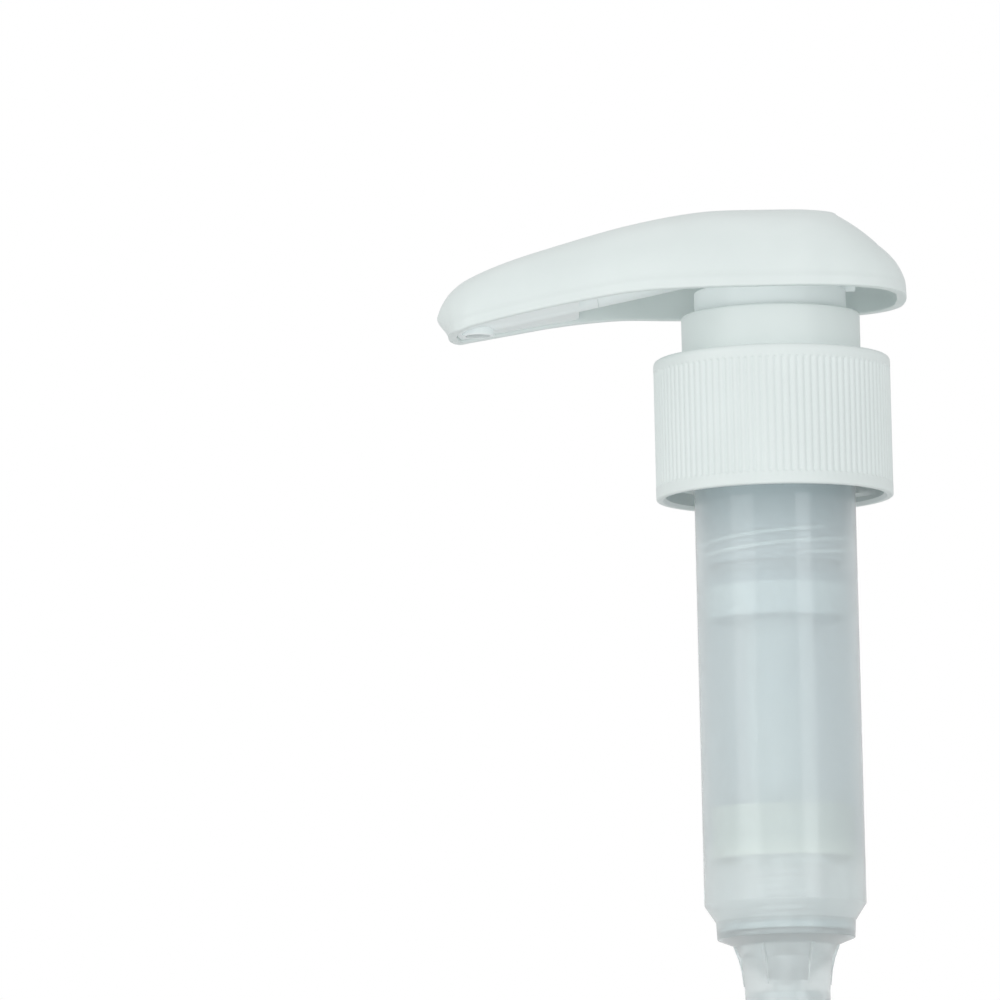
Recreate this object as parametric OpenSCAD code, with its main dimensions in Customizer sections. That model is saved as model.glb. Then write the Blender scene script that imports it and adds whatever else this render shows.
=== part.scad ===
// Hand pump for condiments: a locking head with a spout, a threaded cap, a piston pump and a dip tube.
// The origin is the centre of the gasket's sealing face, which rests on the container's neck.
// +Z is up and the spout points to -X. The head is drawn locked down, which is its lowest place.

/* [Cap] */
// Outer diameter of the cap over its grip ribs
cap_d = 41.5; // [41:0.5:46]
// Height of the cap
cap_h = 24.5; // [24.5:0.5:30]
// How far the cap's skirt reaches below the sealing face
skirt_drop = 16; // [14:0.5:16]
// Number of grip ribs round the cap
rib_count = 100; // [60:4:120]

/* [Lock collar] */
// Outer diameter of the collar above the cap
collar_d = 31.3; // [31:0.1:31.5]
// How far the collar stands above the cap
collar_rise = 7.8; // [6:0.2:8]

/* [Pump] */
// Outer diameter of the pump barrel
barrel_d = 28.2; // [28:0.1:28.4]
// Wall of the pump barrel
barrel_wall = 1.3; // [1.2:0.05:1.3]
// Outer diameter of the hollow stem
stem_d = 12; // [12:0.1:12.4]
// Travel of the head from locked down to fully up
stroke = 32.5; // [20:0.5:40]
// Wire diameter of the return spring
wire_d = 1.16; // [1:0.02:1.16]

/* [Dip tube] */
// Outer diameter of the dip tube
dip_d = 11.44; // [10:0.02:11.46]
// Wall of the dip tube
dip_wall = 1.2; // [0.8:0.1:1.5]
// Depth of the dip tube's tip below the sealing face
dip_depth = 181; // [150:1:260]

/* [Head] */
// Reach of the spout's tip from the pump's axis
spout_reach = 58.4; // [54:0.2:62]
// Wall of the head's cover
shell_wall = 1.6; // [1.2:0.1:1.7]
// Bore of the outlet tube
outlet_d = 5.6; // [4.6:0.2:5.8]
// Bore of the down-turned nozzle at the spout's tip
nozzle_d = 4.4; // [3.6:0.2:4.4]

/* [Hidden] */
$fn = 96;

pp_white = [0.90, 0.93, 0.92];
pp_frosted = [0.78, 0.83, 0.84];
pe_natural = [0.93, 0.93, 0.88];
steel = [0.72, 0.73, 0.75];

// Heights along the axis, from the sealing face down and up
cap_top = cap_h - skirt_drop;
cap_web = 3;
gasket_t = 1.4;
flange_t = 1.7;
flange_top = gasket_t + flange_t;
collar_flange_t = 2.1;
collar_top = cap_top + collar_rise;
sleeve_end = -28;
guide_top = -30;
guide_end = -37.6;
end_gap = 0.4;
piston_top = guide_end - stroke - end_gap;
seat_top = piston_top - 7.5;
seat_under = seat_top - 2.5;
coil_h = 10.3;
cage_top = seat_under - coil_h;
floor_z = cage_top - 1.2;
rim_z = 18.6;
stem_top = 24;

// Radii
cap_r = cap_d / 2;
cap_root_r = 19.05;
thread_crest_r = 17.95;
thread_pitch = 4.23;
thread_rings = 3;
thread_start = -3.8;
collar_r = collar_d / 2;
collar_bore_r = 13.5;
flange_r = 18.2;
barrel_r = barrel_d / 2;
bore_r = barrel_r - barrel_wall;
stem_r = stem_d / 2;
stem_bore_r = stem_r - 1.6;
run_gap = 0.08;
press_gap = 0.02;

// A closed ring whose half section is the polygon pts of [radius, height]
module ring(pts) rotate_extrude() polygon(pts);

// Points of an arc in the half section, from angle a to angle b round centre c
function arc(c, r, a, b, n) =
    [for (i = [0:n]) let (t = a + (b - a) * i / n) c + r * [cos(t), sin(t)]];

// A ridge of an outside thread, drawn as a ring that stands from root to crest
module ridge(root, crest, z, w)
    ring([[root - 0.2, z - w], [crest, z - w / 3], [crest, z + w / 3], [root - 0.2, z + w]]);

// Threaded cap: fine grip ribs between two plain bands, and a web that holds the collar down
rib_depth = 0.4;
band_low = 2;
band_high = 2.1;
web_hole_r = collar_r + 0.25;

module cap_ribs() {
    step = 360 / rib_count;
    root = cap_r - rib_depth - 0.2;
    crest = cap_r - 0.02;
    polar = [for (i = [0:rib_count - 1], k = [0:3])
        let (a = (i + [0, 0.2, 0.5, 0.7][k]) * step) (k == 1 || k == 2 ? crest : root) * [cos(a), sin(a)]];
    translate([0, 0, band_low - skirt_drop - 0.3])
        linear_extrude(cap_h - band_low - band_high + 0.6) difference() {
            polygon(polar);
            circle(r = root - 0.3);
        }
}

module cap() color(pp_white) {
    shoulder_r = 1.6;
    web_z = cap_top - cap_web;
    foot = -skirt_drop;
    cap_ribs();
    ring(concat(
        [[cap_root_r + 0.6, foot], [cap_r - 0.3, foot], [cap_r, foot + 0.3], [cap_r, foot + band_low],
            [cap_r - rib_depth, foot + band_low], [cap_r - rib_depth, cap_top - band_high],
            [cap_r, cap_top - band_high]],
        arc([cap_r - shoulder_r, cap_top - shoulder_r], shoulder_r, 0, 90, 6),
        [[web_hole_r, cap_top], [web_hole_r, web_z], [cap_root_r, web_z]],
        [for (i = [0:thread_rings - 1], k = [[0, 1.2], [1, 0.4], [1, -0.4], [0, -1.2]])
            [k[0] == 0 ? cap_root_r : thread_crest_r, thread_start - i * thread_pitch + k[1]]],
        [[cap_root_r, foot + 0.6]]
    ));
}

// Flat ring that seals the housing's flange to the container's neck
module gasket() color(pe_natural)
    ring([[14.45, 0], [18.4, 0], [18.4, gasket_t], [14.45, gasket_t]]);

// Collar that snaps into the housing: lock bore above, sleeve with fine thread ridges below
snap_z = -3.35;

module lock_collar() color(pp_white) {
    flange_z = flange_top + collar_flange_t;
    plug_r = bore_r - 0.05;
    ring([
        [collar_bore_r + 0.5, collar_top], [collar_r - 0.5, collar_top], [collar_r, collar_top - 0.5],
        [collar_r, flange_z], [17.6, flange_z], [17.6, flange_top], [plug_r, flange_top],
        [plug_r, snap_z + 0.75], [plug_r + 0.25, snap_z + 0.25], [plug_r + 0.25, snap_z - 0.25],
        [plug_r, snap_z - 0.75], [plug_r, -8], [12, -9.5], [12, sleeve_end], [10.5, sleeve_end],
        [10.5, flange_z + 0.8], [collar_bore_r, flange_z + 0.8], [collar_bore_r, collar_top - 0.5]
    ]);
    for (i = [0:2]) ridge(12, 12.6, -22.4 - i * 2.3, 0.6);
}

// Guide that closes the collar's sleeve and keeps the stem central
module stem_guide() color(pp_white)
    ring([
        [stem_r + run_gap, guide_end], [12.6, guide_end], [12.6, guide_top], [10.45, guide_top],
        [10.45, guide_top + 6], [9.2, guide_top + 6], [9.2, guide_end + 2], [7.6, guide_end + 2],
        [7.6, guide_end + 6.6], [stem_r + run_gap, guide_end + 6.6]
    ]);

// Pump housing: flange, barrel, inlet valve seat and dip tube socket
module housing_fin() {
    translate([0, 0.45, floor_z]) rotate([90, 0, 0]) linear_extrude(0.9)
        polygon([[6.8, -2.4], [9.25, -2.4], [8.4, -4.7], [7.9, -6.8], [7.6, -9.4], [6.8, -9.4]]);
}

module pump_housing() color(pp_frosted, 0.55) {
    difference() {
        union() {
            ring([
                [0, flange_top], [flange_r, flange_top], [flange_r, gasket_t], [14.35, gasket_t],
                [14.35, -4], [barrel_r, -4.4], [barrel_r, floor_z + 4.8], [12.15, floor_z + 1.8],
                [12, floor_z - 1.2], [8.9, floor_z - 2.4], [7.9, floor_z - 4.7], [7.5, floor_z - 9],
                [7.4, floor_z - 11], [7.4, floor_z - 20.7], [7.1, floor_z - 21], [0, floor_z - 21]
            ]);
            for (a = [30:60:330]) rotate([0, 0, a + 90]) housing_fin();
        }
        ring([
            [0, flange_top + 1], [bore_r, flange_top + 1], [bore_r, snap_z + 0.95],
            [bore_r + 0.3, snap_z + 0.65], [bore_r + 0.3, snap_z - 0.65], [bore_r, snap_z - 0.95],
            [bore_r, floor_z + 4.6], [10.8, floor_z + 1.5], [10.8, floor_z], [6, floor_z],
            [6, floor_z - 4.5], [2.6, floor_z - 8.4], [2.6, floor_z - 10.5], [5.75, floor_z - 10.5],
            [5.75, floor_z - 20.4], [6.1, floor_z - 21.5], [0, floor_z - 21.5]
        ]);
    }
}

// Dip tube with a slanted tip, so that the container's floor can't close it
module dip_tube() color(pp_frosted, 0.7)
    difference() {
        top = floor_z - 10.5;
        translate([0, 0, -dip_depth]) cylinder(h = dip_depth + top, d = dip_d);
        translate([0, 0, -dip_depth - 1]) cylinder(h = dip_depth + top + 2, d = dip_d - 2 * dip_wall);
        translate([-dip_d / 2, 0, -dip_depth]) rotate([0, -30, 0])
            translate([-dip_d, -dip_d, -2 * dip_d]) cube([4 * dip_d, 2 * dip_d, 2 * dip_d]);
    }

// Inlet valve: a ball on the housing's conical seat, under a cage that limits its lift
inlet_ball_r = 4;
inlet_half_angle = atan(3.4 / 3.9);
inlet_ball_z = floor_z - 8.4 - 2.6 * 3.9 / 3.4 + inlet_ball_r / sin(inlet_half_angle) + 0.02;

module inlet_ball() color(steel) translate([0, 0, inlet_ball_z]) sphere(r = inlet_ball_r);

module ball_cage() color(pe_natural) {
    ring([
        [4.4, floor_z], [10.7, floor_z], [10.7, cage_top], [6.2, cage_top], [6.2, cage_top + 1.2],
        [4.4, cage_top + 1.2]
    ]);
    for (a = [0, 90]) rotate([0, 0, a])
        translate([-5, -0.7, floor_z + 1]) cube([10, 1.4, 1.4]);
}

// Return spring, drawn as it is under the locked head: nearly solid
spring_r = 7.3;
spring_turns = 7.5;
spring_sides = 8;
ring_steps = 20;

module return_spring() color(steel) {
    rings = spring_turns * ring_steps;
    climb = coil_h - wire_d - 0.06;
    pts = [for (i = [0:rings], j = [0:spring_sides - 1])
        let (a = 360 * i / ring_steps, b = 360 * j / spring_sides, r = spring_r + wire_d / 2 * cos(b))
        [r * cos(a), r * sin(a), cage_top + 0.03 + wire_d / 2 + climb * i / rings + wire_d / 2 * sin(b)]];
    sides = [for (i = [0:rings - 1], j = [0:spring_sides - 1], t = [0, 1])
        let (k = (j + 1) % spring_sides, p = i * spring_sides, q = p + spring_sides)
        t == 0 ? [p + j, q + j, q + k] : [p + j, q + k, p + k]];
    first = [for (j = [0:spring_sides - 1]) j];
    last = [for (j = [spring_sides - 1:-1:0]) rings * spring_sides + j];
    polyhedron(pts, concat(sides, [first, last]));
}

// Piston: two lips that wipe the barrel and a sleeve that slides on the stem
module piston() color(pe_natural) {
    lip_r = bore_r - 0.05;
    in_r = stem_r + 0.06;
    ring([
        [in_r, piston_top], [7.3, piston_top], [7.3, piston_top - 3.2], [11.4, piston_top - 3.2],
        [11.9, piston_top], [lip_r, piston_top], [lip_r, piston_top - 1.2], [lip_r - 0.35, piston_top - 2.4],
        [lip_r - 0.35, piston_top - 6.6], [lip_r, piston_top - 7.8], [lip_r, piston_top - 9],
        [11.9, piston_top - 9], [11.4, piston_top - 5.2], [7.3, piston_top - 5.2],
        [7.3, seat_top + 0.05], [in_r, seat_top + 0.05]
    ]);
}

// Plug in the stem's lower end: valve seat for the piston and upper seat for the spring
module piston_seat() color(pp_white)
    ring([
        [0, seat_top + 2.5], [stem_bore_r - press_gap - 0.4, seat_top + 2.5],
        [stem_bore_r - press_gap, seat_top + 2.1], [stem_bore_r - press_gap, seat_top],
        [8, seat_top], [8.3, seat_top - 0.3], [8.3, seat_under], [6.3, seat_under],
        [6, seat_under - 2.5], [0, seat_under - 2.5]
    ]);

// Hollow stem: ports above the seat, and the discharge valve's seat and nibs near its top
valve_z = 8;
seat_hole_r = 2.2;

module stem() color(pp_white)
    difference() {
        union() {
            ring([
                [stem_bore_r, seat_top], [stem_r, seat_top], [stem_r, stem_top - 0.6],
                [stem_r - 0.4, stem_top], [stem_bore_r, stem_top],
                [stem_bore_r, valve_z + stem_bore_r - seat_hole_r], [seat_hole_r, valve_z],
                [seat_hole_r, valve_z - 1.4], [stem_bore_r, valve_z - 3.6]
            ]);
            for (a = [60, 180, 300]) rotate([0, 0, a])
                translate([2.75, -0.6, valve_z + 7.8]) cube([stem_bore_r - 2.5, 1.2, 1.5]);
        }
        for (a = [45:90:315]) rotate([0, 90, a])
            translate([2.7 - piston_top, 0, 0]) cylinder(h = stem_r + 1, r = 1.3);
    }

// Discharge valve: a ball on the stem's inner seat
discharge_ball_r = 3.2;
discharge_ball_z = valve_z - seat_hole_r + discharge_ball_r * sqrt(2) + 0.03;

module discharge_ball() color(steel)
    translate([0, 0, discharge_ball_z]) sphere(r = discharge_ball_r);

// Outline of the head, seen from the side: its crown from the spout's tip to the back
spout_k = spout_reach / 58.4;
crown = [
    [-58.4, 17.2], [-57.4, 19.4], [-55.6, 21.7], [-52.5, 23.8], [-45.8, 26.5], [-36, 29.4],
    [-24.8, 32.2], [-12, 34.2], [0, 34.4], [10, 34.1], [12.4, 33], [16.6, 30], [21, 26],
    [23.4, 22.2], [23.9, 19.4]
];
// Height of the head's lower edge, and half of the head's width, along its length
lower_edge = [
    [-58.4, 13.7], [-55.2, 13.6], [-52.7, 14.1], [-45.7, 15.5], [-38.6, 16.8],
    [-31.6, 17.8], [-24.6, 18.5], [-20, rim_z], [24, rim_z]
];
half_width = [
    [-58.4, 1.8], [-58.1, 3.8], [-57.4, 5.8], [-55.8, 8.1], [-52.7, 10.1], [-45.7, 12],
    [-38.6, 13.2], [-31.6, 14.8], [-24.6, 17.2], [-18, 19.2], [-8, 20.4], [4, 20.4], [12, 19],
    [18, 16.2], [21.2, 13], [22.9, 9.6], [23.6, 6.4], [23.9, 1.8]
];
// How far the nose draws back between its crown and its lower edge
nose_lean = [[-58.4, 1.9], [-57.4, 1.3], [-55.6, 0.55], [-52.5, 0]];

// Cap, collar and barrel fix the middle of the head, so only the spout's side of it stretches
function stretch(x) = x < 0 ? x * spout_k : x;
function relax(x) = x < 0 ? x / spout_k : x;
function edge_z(x) = lookup(relax(x), lower_edge);
function half_w(x) = lookup(relax(x), half_width);
function lean(x) = lookup(relax(x), nose_lean);

// A smooth curve through the crown's points, and the unit normal that points out of it
last_point = len(crown) - 1;
function crown_point(i) = let (p = crown[max(0, min(last_point, i))]) [stretch(p.x), p.y];
function crown_at(u) =
    let (i = min(floor(u), last_point - 1), t = u - i,
        a = crown_point(i - 1), b = crown_point(i), c = crown_point(i + 1), d = crown_point(i + 2))
    b + t / 2 * (c - a) + t * t * (a - 2.5 * b + 2 * c - d / 2) + t * t * t / 2 * (d - a + 3 * (b - c));
function crown_normal(u) =
    let (e = 0.05, v = crown_at(min(u + e, last_point)) - crown_at(max(u - e, 0)))
    [-v.y, v.x] / norm(v);

// One point of the cover's section: u runs along the crown, s from 0 to 1 across the arch
section_power = 2 / 2.5;
skirt_band = 2;
function swell(v) = sign(v) * pow(abs(v), section_power);
function ease(t) = t * t * (3 - 2 * t);
function cover_point(u, s, inset) =
    let (c = crown_at(u), p = c - inset * crown_normal(u), z0 = edge_z(p.x), h = p.y - z0,
        half = half_w(c.x) - inset, band = min(skirt_band, 0.3 * h), a = 180 * s,
        rise = s <= 0 || s >= 1 ? 0 : band + (h - band) * swell(sin(a)))
    [p.x + lean(c.x) * (1 - ease(min(1, rise / h))), half * swell(cos(a)), z0 + rise];

// Head cover: a thin smooth shell, open below
along = 2 * last_point;
across = 20;
function arch(s) = s == 0 || s == across ? s / across : (s - 0.6) / (across - 1.2);
function skin(inset) = [for (i = [0:along], j = [0:across]) cover_point(i / 2, arch(j), inset)];
function quad(a, b, c, d) = [[a, b, c], [a, c, d]];

module head_cover() color(pp_white) {
    wide = across + 1;
    inner = (along + 1) * wide;
    outside = [for (i = [0:along - 1], j = [0:across - 1]) let (p = i * wide + j)
        each quad(p, p + 1, p + wide + 1, p + wide)];
    inside = [for (i = [0:along - 1], j = [0:across - 1]) let (p = inner + i * wide + j)
        each quad(p, p + wide, p + wide + 1, p + 1)];
    rims = [for (i = [0:along - 1], j = [0, across]) let (p = i * wide + j, q = p + wide)
        each j == 0 ? quad(p, q, q + inner, p + inner) : quad(q, p, p + inner, q + inner)];
    ends = [for (i = [0, along], j = [0:across - 1]) let (p = i * wide + j, q = p + 1)
        each i == 0 ? quad(q, p, p + inner, q + inner) : quad(p, q, q + inner, p + inner)];
    polyhedron(concat(skin(0), skin(shell_wall)), concat(outside, inside, rims, ends), convexity = 6);
}

// Spout base: stem socket, lock skirt, stiffening ribs and the upper end of the outlet tube
hub_r = 7.6;
hub_top = 32.1;
tube_r = outlet_d / 2 + 0.9;
outlet_root = [0, 28.2];
elbow = [stretch(-51.3), 18];
outlet_run = elbow - outlet_root;
outlet_tilt = atan2(outlet_run.y, -outlet_run.x);
outlet_len = norm(outlet_run);
tube_joint = 0.6 * outlet_len;

// A cylinder along a line in the XZ plane that starts at p and falls towards -X by the angle tilt
module along(p, tilt, start, end, r)
    translate([p.x, 0, p.y]) rotate([0, tilt - 90, 0])
        translate([0, 0, start]) cylinder(h = end - start, r = r);

module spout_base() color(pp_white) {
    difference() {
        union() {
            translate([0, 0, 12]) cylinder(h = hub_top - 12, r = hub_r);
            ring([
                [hub_r - 1, 17], [11.2, 17], [11.2, 8.4], [12.6, 8], [12.6, 15.6], [13.3, 16.2],
                [13.3, rim_z], [hub_r - 1, rim_z]
            ]);
            for (z = [9.6, 12.6]) ridge(12.6, 13.3, z, 0.8);
            for (a = [0, 90, 270]) rotate([0, 0, a])
                translate([hub_r - 1, -0.6, rim_z - 0.5]) cube([15 - hub_r + 1, 1.2, 8.5]);
            along(outlet_root, outlet_tilt, 3, tube_joint, tube_r);
        }
        along(outlet_root, outlet_tilt, 0, tube_joint + 1, outlet_d / 2);
        translate([0, 0, 11]) cylinder(h = stem_top - 11, r = stem_r + press_gap);
        translate([0, 0, stem_top - 0.01]) cylinder(h = 7, r = stem_bore_r);
    }
}

// Spout insert: the floor that closes the spout from below, and the tube's lower end. Its spigot
// is pressed into the spout base's tube, and its nozzle opens downwards through the floor
nozzle_r = nozzle_d / 2 + 0.6;
nozzle_tilt = -90;
nozzle_len = 4.2;
spigot_r = outlet_d / 2 - press_gap;
spigot_len = 4;
floor_gap = 0.45;
floor_lift = 0.5;
floor_t = 1.4;
floor_steps = 8;

// The floor follows the foot of the cover's inner wall, from the nose along the spout
module spout_floor() {
    first = 0.8;
    last = 5.2;
    foot = [for (i = [0:floor_steps]) cover_point(first + (last - first) * i / floor_steps, 0, shell_wall)];
    run = foot[floor_steps] - foot[0];
    side = [for (p = foot) [p.x - foot[0].x, p.y - floor_gap]];
    back = [for (i = [floor_steps:-1:0]) [side[i].x, -side[i].y]];
    translate([foot[0].x, 0, foot[0].z + floor_lift]) rotate([0, -atan(run.z / run.x), 0])
        linear_extrude(floor_t) polygon(concat(side, back));
}

module spout_insert() color(pp_white) {
    difference() {
        union() {
            along(outlet_root, outlet_tilt, tube_joint - spigot_len, outlet_len, spigot_r);
            along(outlet_root, outlet_tilt, tube_joint, outlet_len, tube_r);
            translate([elbow.x, 0, elbow.y]) sphere(r = tube_r - 0.2);
            along(elbow, nozzle_tilt, 0, nozzle_len, nozzle_r);
            spout_floor();
        }
        along(outlet_root, outlet_tilt, tube_joint - spigot_len - 1, tube_joint + 1, spigot_r - 0.7);
        along(outlet_root, outlet_tilt, tube_joint + 0.5, outlet_len, outlet_d / 2);
        translate([elbow.x, 0, elbow.y]) sphere(r = outlet_d / 2 - 0.02);
        along(elbow, nozzle_tilt, 0, nozzle_len + 1, nozzle_d / 2);
    }
}

cap();
gasket();
lock_collar();
stem_guide();
pump_housing();
dip_tube();
inlet_ball();
ball_cage();
return_spring();
piston();
piston_seat();
stem();
discharge_ball();
spout_base();
spout_insert();
head_cover();
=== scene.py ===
"""Condiment pump: finished pieces, materials, floor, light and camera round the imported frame.

Sizes are in millimetres unless a comment says metres. The axes are the frame's own: +Z up, the
spout to -X, and the origin in the plane where the gasket rests on the container's neck. Most
heights and outer radii come from the boxes of the CAD nodes. The values at the top are the shared
ones that a box can't give.
"""
from math import atan, atan2, cos, degrees, hypot, pi, radians, sin, tan, tau

import bmesh
import bpy
from mathutils import Matrix, Vector


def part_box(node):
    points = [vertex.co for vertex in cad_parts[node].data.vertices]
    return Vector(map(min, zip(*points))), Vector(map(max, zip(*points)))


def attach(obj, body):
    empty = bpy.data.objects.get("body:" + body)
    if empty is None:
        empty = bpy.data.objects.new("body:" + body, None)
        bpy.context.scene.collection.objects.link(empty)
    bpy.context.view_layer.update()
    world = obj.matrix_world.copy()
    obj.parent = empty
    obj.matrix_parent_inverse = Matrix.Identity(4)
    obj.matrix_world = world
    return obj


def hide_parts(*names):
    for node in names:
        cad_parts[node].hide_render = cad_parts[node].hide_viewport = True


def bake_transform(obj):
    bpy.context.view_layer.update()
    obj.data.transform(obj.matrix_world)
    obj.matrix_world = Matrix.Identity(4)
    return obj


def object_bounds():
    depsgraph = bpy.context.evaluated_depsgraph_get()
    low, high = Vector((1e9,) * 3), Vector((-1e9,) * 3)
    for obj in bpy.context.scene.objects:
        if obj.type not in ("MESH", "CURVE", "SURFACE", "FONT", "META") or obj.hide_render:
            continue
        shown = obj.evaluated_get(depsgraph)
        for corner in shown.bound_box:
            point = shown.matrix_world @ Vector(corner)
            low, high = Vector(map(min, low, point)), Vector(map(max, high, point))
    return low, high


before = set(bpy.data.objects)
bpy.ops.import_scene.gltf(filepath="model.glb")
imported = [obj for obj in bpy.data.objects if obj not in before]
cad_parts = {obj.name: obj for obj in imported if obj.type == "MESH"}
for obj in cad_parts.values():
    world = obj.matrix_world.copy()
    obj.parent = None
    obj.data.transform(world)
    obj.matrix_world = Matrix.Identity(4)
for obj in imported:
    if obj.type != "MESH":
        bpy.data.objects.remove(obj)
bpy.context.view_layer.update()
MM = 0.001


def span(node):
    """Lowest height, highest height and outer radius of a round CAD node, in mm."""
    low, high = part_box(node)
    return low.z / MM, high.z / MM, high.y / MM


# ---------------------------------------------------------------- design values
# Every _R and _BORE is a radius.
COLLAR_R = 15.65
COLLAR_BORE = 13.5
SLEEVE_R = 12.0
BARREL_R = 14.1
BORE_R = 12.8
STEM_BORE = 4.4
HUB_R = 7.6
SKIRT_R = 12.6
TUBE_R = 3.7
TUBE_BORE = 2.8
NOZZLE_BORE = 2.2
FILLET = 0.25
SHELL_WALL = 1.6
RIM_Z = 18.6
RIB_COUNT = 100
RIB_DEPTH = 0.24
CAP_THREAD_PITCH = 4.23
LOCK_THREAD_LEAD = 4.8

CAP_LOW, CAP_TOP, CAP_R = span("cap")
COLLAR_LOW, COLLAR_TOP, _ = span("lock_collar")
GUIDE_LOW, GUIDE_TOP, _ = span("stem_guide")
CAGE_LOW, CAGE_RISE, _ = span("ball_cage")
SPRING_LOW, SPRING_TOP, SPRING_R = span("return_spring")
PISTON_LOW, PISTON_TOP, _ = span("piston")
SEAT_LOW, SEAT_TOP, _ = span("piston_seat")
STEM_LOW, STEM_TOP, STEM_R = span("stem")
TIP_LOW, TIP_TOP, DIP_R = span("dip_tube")
FLANGE_TOP = span("pump_housing")[1]
GASKET_TOP = span("gasket")[1]
FLOOR_Z = CAGE_LOW


# ---------------------------------------------------------------- mesh tools
def build(name, points, faces, crease=38):
    """A smooth mesh object from points in mm. Doubled points merge and normals point outwards."""
    mesh = bpy.data.meshes.new(name)
    mesh.from_pydata([Vector(p) * MM for p in points], [], faces)
    obj = bpy.data.objects.new(name, mesh)
    bpy.context.scene.collection.objects.link(obj)
    return clean(obj, crease)


def clean(obj, crease=38):
    """Merges doubled points, turns the normals out and shades smooth between creases.

    Both distances are in metres, and crease is in degrees.
    """
    doubled, shortest = 2e-7, 1e-8
    shape = bmesh.new()
    shape.from_mesh(obj.data)
    bmesh.ops.remove_doubles(shape, verts=shape.verts, dist=doubled)
    bmesh.ops.dissolve_degenerate(shape, edges=shape.edges, dist=shortest)
    bmesh.ops.recalc_face_normals(shape, faces=shape.faces)
    shape.to_mesh(obj.data)
    shape.free()
    obj.data.shade_smooth()
    obj.data.set_sharp_from_angle(angle=radians(crease))
    return obj


def rounded(outline, steps=4):
    """A closed outline of (r, z) or (r, z, fillet) corners, with each corner turned into an arc."""
    corners = [Vector(p[:2]) for p in outline]
    fillets = [p[2] if len(p) > 2 else FILLET for p in outline]
    points = []
    for i, here in enumerate(corners):
        back = corners[i - 1] - here
        ahead = corners[(i + 1) % len(corners)] - here
        turn = back.angle(ahead)
        cut = min(fillets[i] / tan(turn / 2), 0.45 * min(back.length, ahead.length))
        if cut < 0.01:
            points.append(here)
            continue
        start = here + back.normalized() * cut
        end = here + ahead.normalized() * cut
        points.append(here + back.normalized() * min(1.6 * cut, 0.48 * back.length))
        for k in range(steps + 1):
            t = k / steps
            points.append(start * (1 - t) ** 2 + here * 2 * t * (1 - t) + end * t * t)
        points.append(here + ahead.normalized() * min(1.6 * cut, 0.48 * ahead.length))
    return [(p.x, p.y) for p in points]


def lathe(name, outline, segments=192, bend=None, steps=4):
    """The closed outline, turned round the axis. bend(r, z, angle) may move a section's point."""
    section = rounded(outline, steps)
    count = len(section)
    points = []
    for k in range(segments):
        angle = tau * k / segments
        for r, z in section:
            if bend:
                r, z = bend(r, z, angle)
            points.append((r * cos(angle), r * sin(angle), z))
    faces = []
    for k in range(segments):
        near, far = k * count, (k + 1) % segments * count
        for i in range(count):
            j = (i + 1) % count
            faces.append((near + i, near + j, far + j, far + i))
    return build(name, points, faces)


def loft(name, loops, crease=38):
    """A closed solid through loops of equally many points, with flat ends."""
    count = len(loops[0])
    points = [p for loop in loops for p in loop]
    faces = [tuple(range(count)), tuple(range(len(points) - count, len(points)))]
    for k in range(len(loops) - 1):
        for i in range(count):
            j = (i + 1) % count
            a, b = k * count, (k + 1) * count
            faces.append((a + i, a + j, b + j, b + i))
    return build(name, points, faces, crease)


def ease(t):
    """A smooth step from 0 to 1."""
    t = max(0.0, min(1.0, t))
    return t * t * (3 - 2 * t)


def thread(name, root, crest, half, start, lead, turns, phase=0.0, fade=0.07):
    """A ridge that winds from height start, by lead each turn, between the radii root and crest."""
    steps = max(24, int(turns * 120))
    sink = 0.2 if root > crest else -0.2
    loops = []
    for i in range(steps + 1):
        t = turns * i / steps
        rise = 0.03 + 0.97 * ease(min(t, turns - t) / fade)
        top = root + (crest - root) * rise
        angle = tau * t + phase
        loop = []
        for share, r in ((-1, root + sink), (-0.95, root), (-0.45, top), (0.45, top),
                         (0.95, root), (1, root + sink)):
            loop.append((r * cos(angle), r * sin(angle), start + lead * t + share * half))
        loops.append(loop)
    return loft(name, loops, crease=60)


def rod(name, start, end, radius, fillet=0.0, segments=96):
    """A round bar along +Z."""
    return lathe(name, [(0, start, 0), (radius, start, fillet), (radius, end, fillet), (0, end, 0)],
                 segments)


def block(name, size, centre, turn=0.0, bevel=0.2):
    """A box with rounded edges, turned about the axis by an angle in degrees."""
    shape = bmesh.new()
    bmesh.ops.create_cube(shape, size=1)
    bmesh.ops.scale(shape, vec=Vector(size), verts=shape.verts)
    bmesh.ops.bevel(shape, geom=shape.edges[:], offset=bevel, segments=3, profile=0.5,
                    affect="EDGES")
    bmesh.ops.translate(shape, vec=Vector(centre), verts=shape.verts)
    bmesh.ops.rotate(shape, cent=(0, 0, 0), matrix=Matrix.Rotation(radians(turn), 3, "Z"),
                     verts=shape.verts)
    points = [v.co[:] for v in shape.verts]
    faces = [tuple(v.index for v in f.verts) for f in shape.faces]
    shape.free()
    return build(name, points, faces)


def merge(obj, *others):
    """Adds the others' meshes to obj as they are."""
    shape = bmesh.new()
    for part in (obj, *others):
        shape.from_mesh(part.data)
    shape.to_mesh(obj.data)
    shape.free()
    for part in others:
        bpy.data.objects.remove(part)
    return clean(obj)


def combine(obj, operation, *others):
    """Unites obj with the others, or cuts them out of it."""
    for part in others:
        step = obj.modifiers.new("combine", "BOOLEAN")
        step.operation, step.solver, step.object = operation, "EXACT", part
    depsgraph = bpy.context.evaluated_depsgraph_get()
    mesh = bpy.data.meshes.new_from_object(obj.evaluated_get(depsgraph))
    obj.modifiers.clear()
    obj.data = mesh
    for part in others:
        bpy.data.objects.remove(part)
    return clean(obj)


def placed(obj, at, tilt):
    """obj, drawn along +Z, laid along the line that starts at (x, z) and falls to -X by tilt."""
    turn = Matrix.Rotation(radians(tilt - 90), 4, "Y")
    obj.data.transform(Matrix.Translation((at[0] * MM, 0, at[1] * MM)) @ turn)
    return obj


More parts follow.
